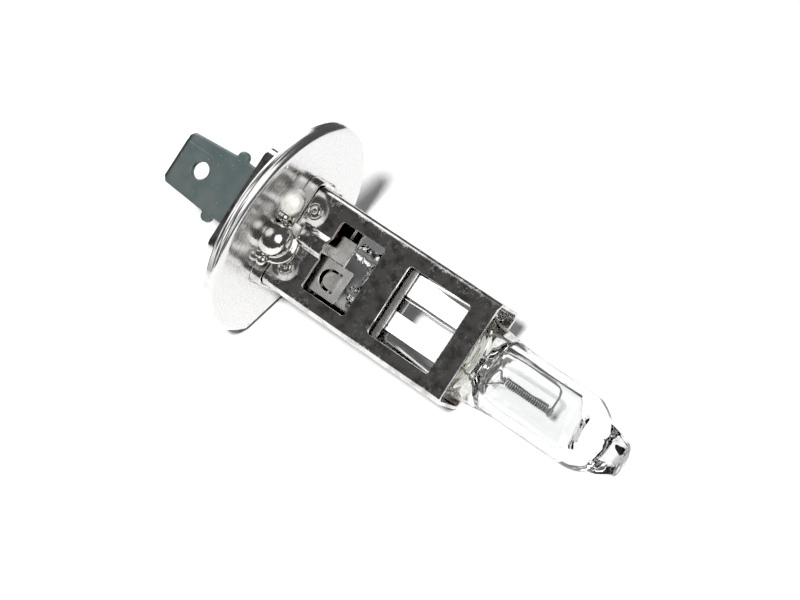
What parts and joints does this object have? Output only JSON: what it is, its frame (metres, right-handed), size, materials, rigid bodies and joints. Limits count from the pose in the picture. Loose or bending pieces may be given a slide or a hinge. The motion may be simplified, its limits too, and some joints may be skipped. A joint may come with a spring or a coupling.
{
  "type": "halogen headlight bulb",
  "caption": "Halogen headlight bulb: quartz capsule with an axial coil in a windowed nickel-plated sheet holder, round prefocus flange with a flat, and a flat push-on tab.",
  "frame": {"origin": "centre of the flange's front face, the lamp's reference plane", "axes": "+X along the lamp's axis towards the glass tip, +Z away from the flat on the flange, +Y completes the right-handed frame"},
  "size_m": [0.0525, 0.0224, 0.0201],
  "materials": {
    "bright_nickel": "bright nickel plate on formed steel sheet, fine scratches",
    "weld_metal": "smooth fused metal",
    "spring_steel": "rolled spring steel, satin",
    "strip_metal": "rolled nickel strip, satin",
    "terminal_metal": "dull tin plate, grey-green, satin",
    "ceramic": "fired steatite, matt",
    "quartz": "clear fused quartz, fire-polished",
    "molybdenum": "drawn molybdenum, satin",
    "tungsten": "drawn tungsten, dark satin"
  },
  "bodies": {
    "root": {"prefocus_ring": "bright_nickel", "base_sleeve": "bright_nickel", "pinch_holder": "bright_nickel", "ring_weld_beads": "weld_metal", "sleeve_weld_spots": "weld_metal", "earth_bead": "weld_metal", "upper_pinch_clip": "spring_steel", "lower_pinch_clip": "spring_steel", "insulator": "ceramic", "terminal_blade": "terminal_metal", "contact_strip": "strip_metal", "live_lead_weld": "weld_metal", "earth_strip": "strip_metal", "live_outer_lead": "molybdenum", "earth_outer_lead": "molybdenum", "live_foil": "molybdenum", "earth_foil": "molybdenum", "quartz_envelope": "quartz", "short_inner_lead": "molybdenum", "long_inner_lead": "molybdenum", "filament": "tungsten", "filament_joints": "molybdenum"}
  },
  "joints": []
}
